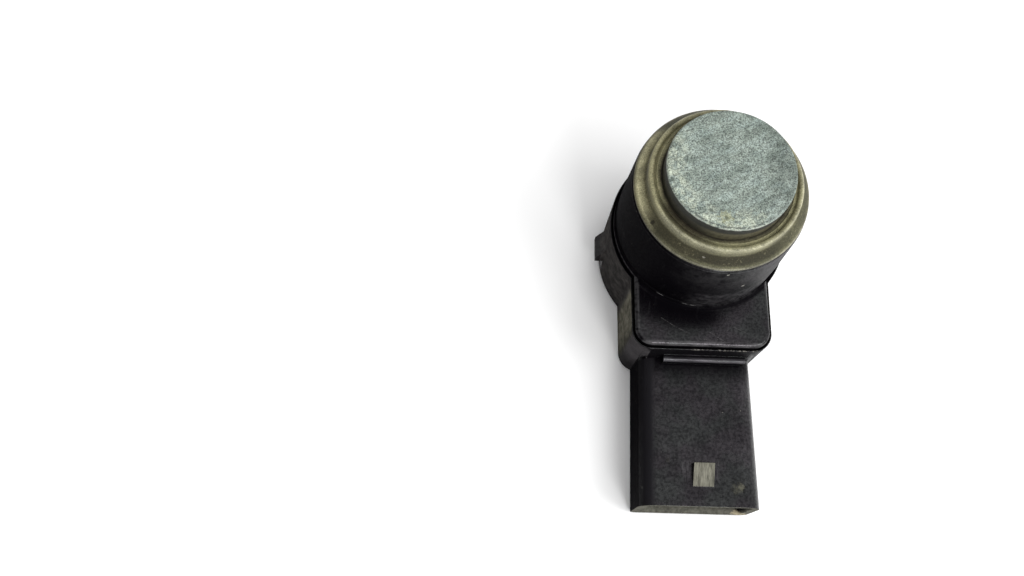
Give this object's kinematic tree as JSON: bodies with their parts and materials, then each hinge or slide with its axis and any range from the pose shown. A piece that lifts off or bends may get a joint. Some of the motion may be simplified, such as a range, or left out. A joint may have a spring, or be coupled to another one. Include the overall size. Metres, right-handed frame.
{
  "type": "parking sensor",
  "caption": "Ultrasonic parking sensor: round grey membrane in an aged silicone ring on a black barrel, with a flat-backed housing and a plug socket at its side.",
  "frame": {"origin": "on the barrel's axis, on the plane of the flat back", "axes": "+Z along the barrel towards the membrane, -Y towards the plug socket's mouth, +X to the right as the socket points at the viewer and the membrane up"},
  "size_m": [0.0256, 0.0481, 0.031],
  "materials": {
    "housing_black": "satin",
    "membrane_coat": "matte",
    "silicone_aged": "satin",
    "piezo_ceramic": "matte",
    "felt_white": "matte",
    "filling_white": "matte",
    "foam_grey": "matte",
    "lead_red": "satin",
    "lead_black": "satin",
    "board_green": "satin",
    "package_black": "matte",
    "ferrite": "matte",
    "copper_wire": "satin",
    "capacitor_yellow": "satin",
    "capacitor_tan": "satin",
    "resistor_black": "satin",
    "solder": "satin",
    "terminal_metal": "satin"
  },
  "bodies": {
    "root": {"front_housing": "housing_black", "rear_housing": "housing_black", "transducer_cup": "membrane_coat", "decoupling_ring": "silicone_aged", "piezo_disc": "piezo_ceramic", "damping_felt": "felt_white", "cup_filling": "filling_white", "backing_foam": "foam_grey", "signal_lead": "lead_red", "ground_lead": "lead_black", "circuit_board": "board_green", "driver_chip": "package_black", "transformer_core": "ferrite", "transformer_winding": "copper_wire", "buffer_capacitor": "capacitor_yellow", "protection_diode": "package_black", "ceramic_capacitors": "capacitor_tan", "chip_resistors": "resistor_black", "solder_joints": "solder", "terminal_left": "terminal_metal", "terminal_centre": "terminal_metal", "terminal_right": "terminal_metal"}
  },
  "joints": []
}
